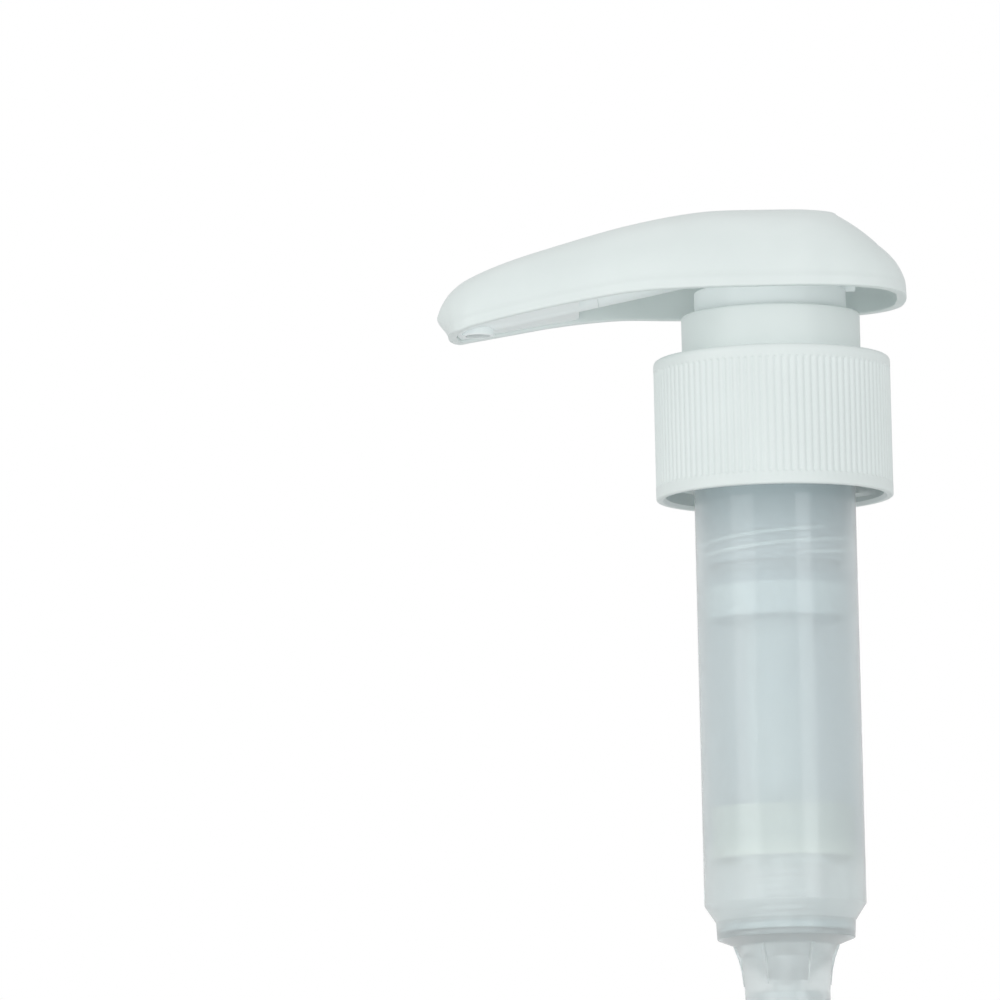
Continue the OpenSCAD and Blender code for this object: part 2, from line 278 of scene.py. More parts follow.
# ---------------------------------------------------------------- camera, floor and light
def make_camera():
    """The camera looks along +Y from a little below, from so far that the view is nearly flat.

    Its distance, the width that it sees there and its clip planes are in metres.
    """
    elevation, roll = radians(7.5), atan(0.022)
    target = Vector((-48.07, 0, -15.2)) * MM
    distance, view_width, sensor_width = 1.6, 0.17483, 36
    ahead = Vector((0, cos(elevation), sin(elevation)))
    up = Vector((0, -sin(elevation), cos(elevation)))
    side = Vector((1, 0, 0))
    right = side * cos(roll) - up * sin(roll)
    top = side * sin(roll) + up * cos(roll)
    data = bpy.data.cameras.new("camera")
    data.sensor_width = sensor_width
    data.lens = sensor_width * distance / view_width
    data.clip_start, data.clip_end = 0.05, 20
    camera = bpy.data.objects.new("camera", data)
    camera.matrix_world = Matrix.Translation(target - ahead * distance) @ Matrix(
        (right, top, -ahead)).transposed().to_4x4()
    bpy.context.scene.collection.objects.link(camera)
    bpy.context.scene.camera = camera


def make_floor():
    """A round pale sheet just under the dip tube's tip.

    It fades into the white surroundings between two distances in metres, and it is clear from
    below, so that it hides nothing.
    """
    radius, rings, sides, gap = 600, 8, 96, 0.4
    fade_start, fade_end = 0.10, radius * 0.9 * MM
    points = [(0, 0, 0)]
    for k in range(1, rings + 1):
        reach = radius * k / rings
        points += [(reach * cos(tau * i / sides), reach * sin(tau * i / sides), 0)
                   for i in range(sides)]
    faces = [(0, 1 + i, 1 + (i + 1) % sides) for i in range(sides)]
    for k in range(rings - 1):
        near, far = 1 + k * sides, 1 + (k + 1) * sides
        faces += [(near + i, far + i, far + (i + 1) % sides, near + (i + 1) % sides)
                  for i in range(sides)]
    floor = build("floor", points, faces)
    if floor.data.polygons[0].normal.z < 0:
        floor.data.flip_normals()
    floor.location.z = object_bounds()[0].z - gap * MM
    look = Look("floor_white", Roughness=0.8)
    look.colours(look.spread(look.noise(30), 0, 1), (0.88, 0.885, 0.885), (0.90, 0.905, 0.905))
    distance = look.nodes.new("ShaderNodeVectorMath")
    distance.operation = "LENGTH"
    look.links.new(look.place, distance.inputs[0])
    fade = look.spread(distance.outputs["Value"], 0, 1, fade_start, fade_end)
    below = look.nodes.new("ShaderNodeNewGeometry")
    more = look.nodes.new("ShaderNodeMath")
    more.operation = "MAXIMUM"
    clear = look.nodes.new("ShaderNodeBsdfTransparent")
    choose = look.nodes.new("ShaderNodeMixShader")
    look.links.new(fade, more.inputs[0])
    look.links.new(below.outputs["Backfacing"], more.inputs[1])
    look.links.new(more.outputs[0], choose.inputs[0])
    look.links.new(look.shader.outputs[0], choose.inputs[1])
    look.links.new(clear.outputs[0], choose.inputs[2])
    look.links.new(choose.outputs[0], look.nodes["Material Output"].inputs[0])
    floor.data.materials.append(look.material)


def make_light():
    """White surroundings and four soft lamps, placed and sized in metres.

    The key is at the front left and a low lamp in front. The other two are weaker. The surroundings
    look white to the camera, but light the part a little less.
    """
    aim = Vector((0, 0, -0.04))
    light_strength, shown_strength = 0.70, 1.0

    def lamp(name, position, size, watts, tint):
        data = bpy.data.lights.new(name, "AREA")
        data.shape, data.size, data.energy, data.color = "DISK", size, watts, tint
        obj = bpy.data.objects.new(name, data)
        obj.location = position
        obj.rotation_euler = (aim - Vector(position)).to_track_quat("-Z", "Y").to_euler()
        bpy.context.scene.collection.objects.link(obj)

    lamp("key", (-0.93, -0.76, 0.24), size=0.8, watts=2.45, tint=(1, 1, 0.99))
    lamp("fill", (0.74, -0.95, 0.05), size=0.5, watts=1.35, tint=(0.97, 0.99, 1))
    lamp("low", (-0.15, -1.22, -0.38), size=0.8, watts=2.75, tint=(1, 1, 1))
    lamp("top", (-0.1, 0.25, 1.1), size=0.9, watts=1.0, tint=(1, 1, 1))
    world = bpy.data.worlds.new("surroundings")
    bpy.context.scene.world = world
    world.use_nodes = True
    nodes, links = world.node_tree.nodes, world.node_tree.links
    sky = nodes["Background"]
    sky.inputs["Color"].default_value = (1, 1, 1, 1)
    path = nodes.new("ShaderNodeLightPath")
    strength = nodes.new("ShaderNodeMapRange")
    strength.inputs["To Min"].default_value = light_strength
    strength.inputs["To Max"].default_value = shown_strength
    links.new(path.outputs["Is Camera Ray"], strength.inputs["Value"])
    links.new(strength.outputs[0], sky.inputs["Strength"])
    bpy.context.scene.view_settings.view_transform = "Standard"


# ---------------------------------------------------------------- materials
class Look:
    """A Principled material whose colour, roughness and bump come from noise in object space."""

    def __init__(self, name, **settings):
        self.material = bpy.data.materials.new(name)
        self.material.use_nodes = True
        self.nodes = self.material.node_tree.nodes
        self.links = self.material.node_tree.links
        self.shader = self.nodes["Principled BSDF"]
        for socket, value in settings.items():
            self.shader.inputs[socket.replace("_", " ")].default_value = value
        self.place = self.nodes.new("ShaderNodeTexCoord").outputs["Object"]

    def noise(self, size, detail=3.0, stretch=(1, 1, 1), distortion=0.0):
        """Noise with features about size mm across, and longer along an axis with less stretch."""
        scaled = self.nodes.new("ShaderNodeMapping")
        scaled.inputs["Scale"].default_value = [s / (size * MM) for s in stretch]
        grain = self.nodes.new("ShaderNodeTexNoise")
        grain.inputs["Scale"].default_value = 1.0
        grain.inputs["Detail"].default_value = detail
        grain.inputs["Distortion"].default_value = distortion
        self.links.new(self.place, scaled.inputs["Vector"])
        self.links.new(scaled.outputs[0], grain.inputs["Vector"])
        return grain.outputs["Fac"]

    def spread(self, value, low, high, from_low=0.3, from_high=0.7):
        """value, mapped from its usual range to low..high."""
        ramp = self.nodes.new("ShaderNodeMapRange")
        for socket, number in (("From Min", from_low), ("From Max", from_high),
                               ("To Min", low), ("To Max", high)):
            ramp.inputs[socket].default_value = number
        self.links.new(value, ramp.inputs["Value"])
        return ramp.outputs[0]

    def colours(self, value, dark, light):
        """Base colour between two close tones."""
        mix = self.nodes.new("ShaderNodeMix")
        mix.data_type = "RGBA"
        mix.inputs["A"].default_value = (*dark, 1)
        mix.inputs["B"].default_value = (*light, 1)
        self.links.new(value, mix.inputs["Factor"])
        self.links.new(mix.outputs["Result"], self.shader.inputs["Base Color"])

    def tint(self, value, tone):
        """Turns the base colour towards tone where value is 1."""
        socket = self.shader.inputs["Base Color"]
        below = socket.links[0].from_socket
        mix = self.nodes.new("ShaderNodeMix")
        mix.data_type = "RGBA"
        mix.inputs["B"].default_value = (*tone, 1)
        self.links.new(below, mix.inputs["A"])
        self.links.new(value, mix.inputs["Factor"])
        self.links.new(mix.outputs["Result"], socket)

    def polish(self, value, low, high):
        """Roughness between low and high."""
        self.links.new(self.spread(value, low, high), self.shader.inputs["Roughness"])

    def roughen(self, value, amount):
        """Adds amount to the roughness where value is 1."""
        socket = self.shader.inputs["Roughness"]
        below = socket.links[0].from_socket
        more = self.nodes.new("ShaderNodeMath")
        more.operation = "MULTIPLY_ADD"
        more.inputs[1].default_value = amount
        self.links.new(value, more.inputs[0])
        self.links.new(below, more.inputs[2])
        self.links.new(more.outputs[0], socket)

    def height(self, start, end):
        """0 at the height start and 1 at the height end, in mm."""
        split = self.nodes.new("ShaderNodeSeparateXYZ")
        self.links.new(self.place, split.inputs[0])
        return self.spread(split.outputs["Z"], 0, 1, start * MM, end * MM)

    def radius(self, start, end):
        """0 at the radius start and 1 at the radius end, in mm."""
        flat = self.nodes.new("ShaderNodeVectorMath")
        flat.operation = "MULTIPLY"
        flat.inputs[1].default_value = (1, 1, 0)
        away = self.nodes.new("ShaderNodeVectorMath")
        away.operation = "LENGTH"
        self.links.new(self.place, flat.inputs[0])
        self.links.new(flat.outputs[0], away.inputs[0])
        return self.spread(away.outputs["Value"], 0, 1, start * MM, end * MM)

    def bumps(self, *layers):
        """Bump from (value, depth in mm) layers, laid over one another."""
        normal = None
        for value, depth in layers:
            bump = self.nodes.new("ShaderNodeBump")
            bump.inputs["Strength"].default_value = 1.0
            bump.inputs["Distance"].default_value = depth * MM
            self.links.new(value, bump.inputs["Height"])
            if normal:
                self.links.new(normal, bump.inputs["Normal"])
            normal = bump.outputs[0]
        self.links.new(normal, self.shader.inputs["Normal"])


def white_plastic(name, dark, light, roughness):
    """Moulded white plastic: soft sheen, faint flow marks, a fine skin and light handling marks."""
    look = Look(name, Specular_IOR_Level=0.45, Subsurface_Weight=0.12, Subsurface_Scale=0.0012,
                Subsurface_Radius=(1.0, 1.05, 1.0), IOR=1.49)
    flow_marks = look.noise(14, detail=4, distortion=0.4)
    look.colours(look.spread(flow_marks, 0, 1), dark, light)
    handling_marks = look.noise(5, detail=8, stretch=(1, 1, 0.35), distortion=0.6)
    look.polish(handling_marks, roughness - 0.06, roughness + 0.09)
    skin, waves = look.noise(0.35, detail=3), look.noise(6, detail=2)
    drag = look.noise(0.9, detail=5, stretch=(1, 1, 0.15))
    look.bumps((skin, 0.006), (waves, 0.03), (drag, 0.004))
    return look


def clear_plastic(name, dark, light, roughness, through, streaks):
    """Natural polypropylene: light passes, blurred, with fine streaks along the part's length."""
    look = Look(name, Specular_IOR_Level=0.22, IOR=1.42, Transmission_Weight=through,
                Sheen_Weight=0.3, Sheen_Roughness=0.5)
    clouds = look.noise(22, detail=3, stretch=(1, 1, 0.5))
    look.colours(look.spread(clouds, 0, 1), dark, light)
    look.polish(look.noise(2.2, detail=6, stretch=(1, 1, 0.2)), roughness - 0.04, roughness + 0.05)
    fine = look.noise(0.7, detail=4, stretch=(1, 1, 0.04))
    waves = look.noise(5, detail=2, stretch=(1, 1, 0.3))
    look.bumps((fine, streaks), (waves, 2.5 * streaks))
    return look


def stainless_steel(name, dark, light, roughness):
    """Bright metal with fine drawing marks."""
    look = Look(name, Metallic=1.0)
    look.colours(look.spread(look.noise(3, detail=5), 0, 1), dark, light)
    look.polish(look.noise(0.5, detail=6, stretch=(1, 1, 0.3)), roughness - 0.08, roughness + 0.1)
    look.bumps((look.noise(0.12, detail=3), 0.002))
    return look


make_camera()
make_floor()
make_light()

# Tones are linear RGB. A material's two tones are the dark and the light one that noise mixes.
OUTER_TONES = (0.735, 0.80, 0.79), (0.765, 0.83, 0.82)
INNER_TONES = (0.75, 0.81, 0.80), (0.78, 0.84, 0.83)
# The base tones are lighter than the cover's: painted light on the shaded spout base and insert.
PAINTED_LIGHT_BASE_TONES = (0.84, 0.90, 0.90), (0.87, 0.93, 0.93)
CREAMY_TONES = (0.76, 0.78, 0.69), (0.80, 0.82, 0.73)
CAGE_TONES = (0.57, 0.64, 0.65), (0.61, 0.68, 0.69)
BARREL_TONES = (0.77, 0.84, 0.86), (0.82, 0.885, 0.90)
TUBE_TONES = (0.71, 0.775, 0.79), (0.76, 0.82, 0.835)
STEEL_TONES = (0.52, 0.53, 0.55), (0.66, 0.67, 0.68)
WIRE_TONES = (0.74, 0.77, 0.78), (0.82, 0.84, 0.85)
MILKY = 0.90, 0.96, 0.965

WHITE = white_plastic("white_polypropylene", *OUTER_TONES, roughness=0.42)
WHITE_FINE = white_plastic("white_polypropylene_inner", *INNER_TONES, roughness=0.46)
# The spout base and insert take the lighter tones, as painted light under the head.
BASE = white_plastic("white_polypropylene_base_painted_light", *PAINTED_LIGHT_BASE_TONES, roughness=0.42)

# The collar's sleeve is darker between the ridges of its thread, with painted shade in the grooves.
COLLAR = white_plastic("white_polypropylene_sleeve_painted_shade", *OUTER_TONES, roughness=0.42)
COLLAR.tint(COLLAR.radius(start=12.45, end=12.15), tone=(0.46, 0.53, 0.55))

# The guide is darker on its narrow neck, and above a line near the top of its wide band: painted
# shade on the neck next to the collar's sleeve, and the sleeve's painted shadow on the band's rim.
GUIDE = white_plastic("white_polypropylene_guide_painted_shade", *INNER_TONES, roughness=0.46)
GUIDE.tint(GUIDE.radius(start=11.5, end=10.8), tone=(0.50, 0.57, 0.59))
GUIDE.tint(GUIDE.height(start=-32.3, end=-31.6), tone=(0.44, 0.51, 0.53))

SOFT = white_plastic("natural_polyethylene", *CREAMY_TONES, roughness=0.50)

# The barrel is clearer at the top and darker there, with the cap's shadow painted on. It is
# paler and milkier from its foot down, with a darker line of painted shade at its floor's level.
CLEAR = clear_plastic("frosted_polypropylene_painted_shade", *BARREL_TONES,
                      roughness=0.12, through=0.60, streaks=0.0025)
# Painted shadow of the cap on the barrel's top.
CLEAR.tint(CLEAR.height(start=-26, end=-17), tone=(0.62, 0.70, 0.72))
CLEAR.tint(CLEAR.height(start=-76, end=-82), tone=MILKY)
# Painted shade that dims the light through the barrel's solid floor.
CLEAR.tint(CLEAR.height(start=FLOOR_Z + 2.0, end=FLOOR_Z + 1.0), tone=(0.80, 0.87, 0.88))
CLEAR.tint(CLEAR.height(start=FLOOR_Z - 1.0, end=FLOOR_Z - 1.6), tone=MILKY)
CLEAR.roughen(CLEAR.height(start=-34, end=-28), amount=-0.07)
CLEAR.roughen(CLEAR.height(start=-76, end=-84), amount=0.085)

TUBE = clear_plastic("dip_tube_polypropylene", *TUBE_TONES,
                     roughness=0.20, through=0.5, streaks=0.002)
CAGE = white_plastic("natural_polypropylene", *CAGE_TONES, roughness=0.5)
STEEL = stainless_steel("stainless_steel", *STEEL_TONES, roughness=0.24)
WIRE = stainless_steel("stainless_spring_wire", *WIRE_TONES, roughness=0.6)


def finish_piece(obj, node, look, body):
    """The piece stands for its CAD node, in its material, and moves with its body."""
    obj.data.materials.clear()
    obj.data.materials.append(look.material)
    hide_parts(node)
    if body:
        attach(obj, body)


# ---------------------------------------------------------------- screw cap
def make_cap():
    """Ribbed cap: round ribs between two plain bands, an inner thread and a web over the collar."""
    band_low, band_high, soft, skin = CAP_LOW + 2.0, CAP_TOP - 2.1, 0.3, 0.02
    root_r, web_z, hole_r = 19.05, CAP_TOP - 3, COLLAR_R + 0.25

    def ribs(r, z, angle):
        if r < CAP_R - 0.5:
            return r, z
        inside = ease((z - band_low) / soft) * ease((band_high - z) / soft)
        groove = (0.5 + 0.5 * cos(RIB_COUNT * angle)) ** 1.6
        return r - inside * (skin + RIB_DEPTH * groove), z

    cap = lathe("ribbed_cap", [
        (root_r + 0.6, CAP_LOW, 0.15), (CAP_R, CAP_LOW, 0.4), (CAP_R, band_low, 0),
        (CAP_R, band_low + soft / 2, 0), (CAP_R, band_low + soft, 0),
        (CAP_R, band_low + 2 * soft, 0), (CAP_R, band_high - 2 * soft, 0),
        (CAP_R, band_high - soft, 0), (CAP_R, band_high - soft / 2, 0),
        (CAP_R, band_high, 0), (CAP_R, CAP_TOP, 1.6),
        (hole_r, CAP_TOP, 0.2), (hole_r, web_z, 0.2), (root_r, web_z, 0.6),
        (root_r, CAP_LOW + 0.6, 0.1),
    ], segments=RIB_COUNT * 10, bend=ribs)
    merge(cap, thread("cap_thread", root_r, crest=17.95, half=1.15, start=-13.6,
                      lead=CAP_THREAD_PITCH, turns=2.5, phase=radians(20)))
    cap.visible_shadow = False
    finish_piece(cap, "cap", WHITE, "screw_cap")


def make_gasket():
    """Flat ring on the container's rim, under the housing's flange."""
    bore, outer = 14.45, 18.4
    ring = lathe("neck_gasket", [
        (bore, 0, 0.2), (outer, 0, 0.2), (outer, GASKET_TOP, 0.2), (bore, GASKET_TOP, 0.2)])
    finish_piece(ring, "gasket", SOFT, "pump_body")


# ---------------------------------------------------------------- collar and guide
def make_collar():
    """Locking collar: a plain ring above the cap and a sleeve with a fine outer thread below it."""
    ledge, plug_r = FLANGE_TOP + 2.1, BORE_R - 0.05
    bead_r = plug_r + 0.25
    inner_r, sleeve_starts, lock_starts = 10.5, 3, 2
    collar = lathe("locking_collar", [
        (COLLAR_BORE + 0.5, COLLAR_TOP, 0.3), (COLLAR_R, COLLAR_TOP, 0.55), (COLLAR_R, ledge, 0.1),
        (17.6, ledge, 0.2), (17.6, FLANGE_TOP, 0.2), (plug_r, FLANGE_TOP, 0.1),
        (plug_r, -2.6, 0.1), (bead_r, -3.1, 0.1), (bead_r, -3.6, 0.1), (plug_r, -4.1, 0.1),
        (plug_r, -8, 0.2), (SLEEVE_R, -9.5, 0.3), (SLEEVE_R, COLLAR_LOW, 0.3),
        (inner_r, COLLAR_LOW, 0.3), (inner_r, ledge + 0.8, 0.3),
        (COLLAR_BORE, ledge + 0.8, 0.2), (COLLAR_BORE, COLLAR_TOP - 0.5, 0.2),
    ])
    windings = [thread(f"sleeve_thread_{i}", SLEEVE_R, crest=12.7, half=0.62,
                       start=COLLAR_LOW + 0.7, lead=6.4, turns=0.82,
                       phase=tau * (i / sleeve_starts + 0.1), fade=0.12)
                for i in range(sleeve_starts)]
    windings += [thread(f"lock_thread_{i}", COLLAR_BORE, crest=COLLAR_BORE - 0.14, half=0.5,
                        start=ledge + 2.2, lead=LOCK_THREAD_LEAD, turns=1.25,
                        phase=tau * i / lock_starts, fade=0.1)
                 for i in range(lock_starts)]
    merge(collar, *windings)
    finish_piece(collar, "lock_collar", COLLAR, "pump_body")


def make_guide():
    """Stem guide: a wide band, a narrower neck inside the collar's sleeve, and a bushing."""
    band_r, neck_r, neck_bore, bushing_r, bushing_bore = 12.6, 10.45, 9.2, 7.6, STEM_R + 0.08
    step, floor, bushing_top = GUIDE_TOP - 6, GUIDE_LOW + 2, GUIDE_LOW + 6.6
    guide = lathe("stem_bushing", [
        (bushing_bore, GUIDE_LOW, 0.2), (band_r, GUIDE_LOW, 0.35), (band_r, step, 0.3),
        (neck_r, step, 0.1), (neck_r, GUIDE_TOP, 0.2), (neck_bore, GUIDE_TOP, 0.2),
        (neck_bore, floor, 0.3), (bushing_r, floor, 0.3), (bushing_r, bushing_top, 0.3),
        (bushing_bore, bushing_top, 0.2)])
    finish_piece(guide, "stem_guide", GUIDE, "pump_body")


# ---------------------------------------------------------------- housing, inlet valve and dip tube
def make_housing():
    """Barrel with its flange, cone, inlet seat, fins and dip tube socket."""
    z, groove_r = FLOOR_Z, BORE_R + 0.3
    flange_r, neck_r, socket_r, socket_bore, inlet_bore = 18.2, 14.35, 7.4, 5.75, 2.6
    housing = lathe("pump_barrel", [
        (flange_r, FLANGE_TOP, 0.25), (flange_r, GASKET_TOP, 0.2), (neck_r, GASKET_TOP, 0.3),
        (neck_r, -4, 0.2), (BARREL_R, -4.4, 0.2), (BARREL_R, z + 4.8, 0.5), (12.15, z + 1.8, 0.6),
        (12, z - 1.2, 0.3), (8.9, z - 2.4, 0.8), (7.9, z - 4.7, 1.5), (7.5, z - 9, 1.0),
        (socket_r, z - 11, 0.5), (socket_r, z - 21, 0.4), (6.1, z - 21, 0.15),
        (socket_bore, z - 20.2, 0.2), (socket_bore, z - 10.5, 0.2),
        (inlet_bore, z - 10.5, 0.2), (inlet_bore, z - 8.4, 0.1), (6, z - 4.5, 0.2), (6, z, 0.3),
        (10.8, z, 0.3), (10.8, z + 1.5, 0.3), (BORE_R, z + 4.6, 0.4), (BORE_R, -4.3, 0.1),
        (groove_r, -4.0, 0.1), (groove_r, -2.7, 0.1), (BORE_R, -2.4, 0.1),
        (BORE_R, FLANGE_TOP, 0.2),
    ])
    fin_side = [(6.8, -2.4), (9.25, -2.4), (8.4, -4.7), (7.9, -6.8), (7.6, -9.4), (6.8, -9.4)]
    fin_slices = (-0.45, 0.3), (-0.25, 0), (0.25, 0), (0.45, 0.3)
    fins = []
    for k in range(6):
        fin = loft(f"fin_{k}", [[(r - drop, y, z + h) for r, h in fin_side]
                                for y, drop in fin_slices])
        fin.data.transform(Matrix.Rotation(radians(120 + 60 * k), 4, "Z"))
        fins.append(fin)
    combine(housing, "UNION", *fins)
    housing.visible_shadow = False
    finish_piece(housing, "pump_housing", CLEAR, "pump_body")


def make_dip_tube():
    """Square at the top and slanted at the tip, so that the container's floor can't close it."""
    bore, slant, slant_top = DIP_R - 1.2, tan(radians(30)), TIP_LOW + 9

    def cut(r, z, angle):
        return r, z + (r * cos(angle) + DIP_R) * slant * (z < TIP_LOW + 2)

    tube = lathe("suction_tube", [
        (DIP_R, TIP_LOW, 0.15), (DIP_R, slant_top, 0), (DIP_R, TIP_TOP, 0.2),
        (bore, TIP_TOP, 0.2), (bore, slant_top, 0), (bore, TIP_LOW, 0.15)],
        segments=128, bend=cut)
    finish_piece(tube, "dip_tube", TUBE, "pump_body")


def make_ball(name, node, body):
    """A steel valve ball in its CAD node's place."""
    low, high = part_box(node)
    radius, middle = (high.z - low.z) / 2 / MM, (high.z + low.z) / 2 / MM
    rows = 48
    arc = [(radius * sin(pi * k / rows), middle - radius * cos(pi * k / rows), 0)
           for k in range(rows + 1)]
    finish_piece(lathe(name, arc, segments=96), node, STEEL, body)


def make_cage():
    """Ball cage: a flat ring, a short riser that centres the spring, and two crossed bars."""
    bore, riser_r, ring_r, ring_top = 4.4, 6.2, 10.7, FLOOR_Z + 1.2
    cage = lathe("inlet_cage", [
        (bore, FLOOR_Z, 0.15), (ring_r, FLOOR_Z, 0.15), (ring_r, ring_top, 0.2),
        (riser_r, ring_top, 0.15), (riser_r, CAGE_RISE, 0.2), (bore, CAGE_RISE, 0.2)])
    bars = [block(f"bar_{turn}", size=(10, 1.4, 1.4), centre=(0, 0, FLOOR_Z + 1.7), turn=turn)
            for turn in (0, 90)]
    combine(cage, "UNION", *bars)
    finish_piece(cage, "ball_cage", CAGE, "pump_body")


# ---------------------------------------------------------------- spring, piston and stem
def make_spring():
    """A coil between the cage and the piston seat."""
    wire, turns, per_turn, sides, end_turns = 0.58, 7.5, 48, 16, 0.9
    mean = SPRING_R - wire
    low, high = SPRING_LOW + wire, SPRING_TOP - wire
    count = int(turns * per_turn)
    points, weights = [], []
    for i in range(count + 1):
        share = i / count
        angle = tau * turns * share
        weight = min(1.0, max(0.0, (turns * share - end_turns) / (turns - 2 * end_turns)))
        for k in range(sides):
            around = tau * k / sides
            r = mean + wire * cos(around)
            z = low + (high - low) * share + wire * sin(around)
            points.append((r * cos(angle), r * sin(angle), z))
            weights.append(weight)
    faces = [tuple(range(sides)), tuple(range(count * sides, (count + 1) * sides))]
    for i in range(count):
        for k in range(sides):
            a, b, j = i * sides, (i + 1) * sides, (k + 1) % sides
            faces.append((a + k, a + j, b + j, b + k))
    mesh = bpy.data.meshes.new("return_coil")
    mesh.from_pydata([Vector(p) * MM for p in points], [], faces)
    spring = bpy.data.objects.new("return_coil", mesh)
    bpy.context.scene.collection.objects.link(spring)
    shape = bmesh.new()
    shape.from_mesh(mesh)
    bmesh.ops.recalc_face_normals(shape, faces=shape.faces)
    shape.to_mesh(mesh)
    shape.free()
    mesh.shade_smooth()
    mesh.set_sharp_from_angle(angle=radians(50))
    finish_piece(spring, "return_spring", WIRE, None)
    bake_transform(spring)


def make_piston():
    """Two thin lips that wipe the barrel, and a sleeve that slides on the stem."""
    top, lip_r, lip_bore, web_r = PISTON_TOP, BORE_R - 0.05, 11.9, 11.4
    waist_r, sleeve_r, bore = lip_r - 0.35, 7.3, STEM_R + 0.06
    piston = lathe("wiper_piston", [
        (bore, top, 0.15), (sleeve_r, top, 0.2), (sleeve_r, top - 3.2, 0.3),
        (web_r, top - 3.2, 0.3), (lip_bore, top, 0.2), (lip_r, top, 0.2), (lip_r, top - 1.2, 0.2),
        (waist_r, top - 2.4, 0.3), (waist_r, top - 6.6, 0.3), (lip_r, top - 7.8, 0.2),
        (lip_r, PISTON_LOW, 0.2), (lip_bore, PISTON_LOW, 0.2), (web_r, top - 5.2, 0.3),
        (sleeve_r, top - 5.2, 0.3), (sleeve_r, top - 7.45, 0.2), (bore, top - 7.45, 0.15)])
    finish_piece(piston, "piston", SOFT, "plunger")


def make_seat():
    """Plug in the stem's lower end, with the flange that the piston closes on."""
    plug_r, flange_r, flange_low = STEM_BORE - 0.02, 8.3, STEM_LOW - 2.5
    seat = lathe("piston_plug", [
        (0, SEAT_TOP, 0), (plug_r, SEAT_TOP, 0.4), (plug_r, STEM_LOW, 0.1),
        (flange_r, STEM_LOW, 0.25), (flange_r, flange_low, 0.2), (6.3, flange_low, 0.1),
        (6, SEAT_LOW, 0.3), (0, SEAT_LOW, 0)])
    finish_piece(seat, "piston_seat", WHITE_FINE, "head")


def make_stem():
    """Hollow stem with four ports inside the piston, and a ball's seat and nibs near its top."""
    valve, hole, port_r, port_z = 8.0, 2.2, 1.3, PISTON_TOP - 2.7
    stem = lathe("hollow_stem", [
        (STEM_BORE, STEM_LOW, 0.1), (STEM_R, STEM_LOW, 0.15), (STEM_R, STEM_TOP, 0.4),
        (STEM_BORE, STEM_TOP, 0.15), (STEM_BORE, valve + STEM_BORE - hole, 0.2), (hole, valve, 0.1),
        (hole, valve - 1.4, 0.1), (STEM_BORE, valve - 3.6, 0.3)])
    ports = []
    for k in range(4):
        port = rod(f"port_{k}", 0, STEM_R + 2, port_r, segments=32)
        port.data.transform(Matrix.Translation((0, 0, port_z * MM))
                            @ Matrix.Rotation(radians(45 + 90 * k), 4, "Z")
                            @ Matrix.Rotation(pi / 2, 4, "Y"))
        ports.append(port)
    combine(stem, "DIFFERENCE", *ports)
    nibs = [block(f"nib_{turn}", size=(1.9, 1.2, 1.5), centre=(3.7, 0, valve + 8.55), turn=turn)
            for turn in (60, 180, 300)]
    merge(stem, *nibs)
    finish_piece(stem, "stem", WHITE_FINE, "head")


# ---------------------------------------------------------------- head outline
# (x, z) points of the crown and the lower edge, and (x, y) of the half width seen from above.
# NOSE_LEAN is how far the lower points lie behind the crown at each x.
CROWN = [(-58.4, 17.2), (-57.4, 19.4), (-55.6, 21.7), (-52.5, 23.8), (-45.8, 26.5), (-36, 29.4),
         (-24.8, 32.2), (-12, 34.2), (0, 34.4), (10, 34.1), (12.4, 33), (16.6, 30), (21, 26),
         (23.4, 22.2), (23.9, 19.4)]
LOWER_EDGE = [(-58.4, 13.7), (-55.2, 13.6), (-52.7, 14.1), (-45.7, 15.5), (-38.6, 16.8),
              (-31.6, 17.8), (-24.6, 18.5), (-20, RIM_Z), (24, RIM_Z)]
HALF_WIDTH = [(-58.4, 1.8), (-58.1, 3.8), (-57.4, 5.8), (-55.8, 8.1), (-52.7, 10.1), (-45.7, 12),
              (-38.6, 13.2), (-31.6, 14.8), (-24.6, 17.2), (-18, 19.2), (-8, 20.4), (4, 20.4),
              (12, 19), (18, 16.2), (21.2, 13), (22.9, 9.6), (23.6, 6.4), (23.9, 1.8)]
NOSE_LEAN = [(-58.4, 1.9), (-57.4, 1.3), (-55.6, 0.55), (-52.5, 0), (24, 0)]


def hermite(a, b, slope_a, slope_b, t):
    """A cubic from a to b with the given end slopes."""
    return ((2 * t - 3) * t * t + 1) * a + ((t - 2) * t + 1) * t * slope_a \
        + (3 - 2 * t) * t * t * b + (t - 1) * t * t * slope_b


def curve(table, x):
    """A smooth value at x through the table's (x, value) points, which never overshoots them."""
    x = min(max(x, table[0][0]), table[-1][0])
    i = next(k for k in range(len(table) - 1) if x <= table[k + 1][0])

    def grade(k):
        return (table[k + 1][1] - table[k][1]) / (table[k + 1][0] - table[k][0])

    def slope(k):
        if k in (0, len(table) - 1):
            return grade(min(k, len(table) - 2))
        before, after = grade(k - 1), grade(k)
        return 0 if before * after <= 0 else 2 * before * after / (before + after)

    width = table[i + 1][0] - table[i][0]
    return hermite(table[i][1], table[i + 1][1], slope(i) * width, slope(i + 1) * width,
                   (x - table[i][0]) / width)


def crown_at(u):
    """A point on the crown: u counts its points, from the spout's tip to the back."""
    last = len(CROWN) - 1
    u = min(max(u, 0), last)
    i = min(int(u), last - 1)
    a, b, c, d = (Vector(CROWN[min(max(k, 0), last)]) for k in range(i - 1, i + 3))
    return hermite(b, c, (c - a) / 2, (d - b) / 2, u - i)


def crown_normal(u):
    """The upward normal of the crown at u."""
    step = 0.05
    along = crown_at(u + step) - crown_at(u - step)
    return Vector((-along.y, along.x)).normalized()


def swell(value):
    """Section power: the head's arch is a little squarer than an ellipse."""
    return abs(value) ** 0.8 * (1 if value >= 0 else -1)


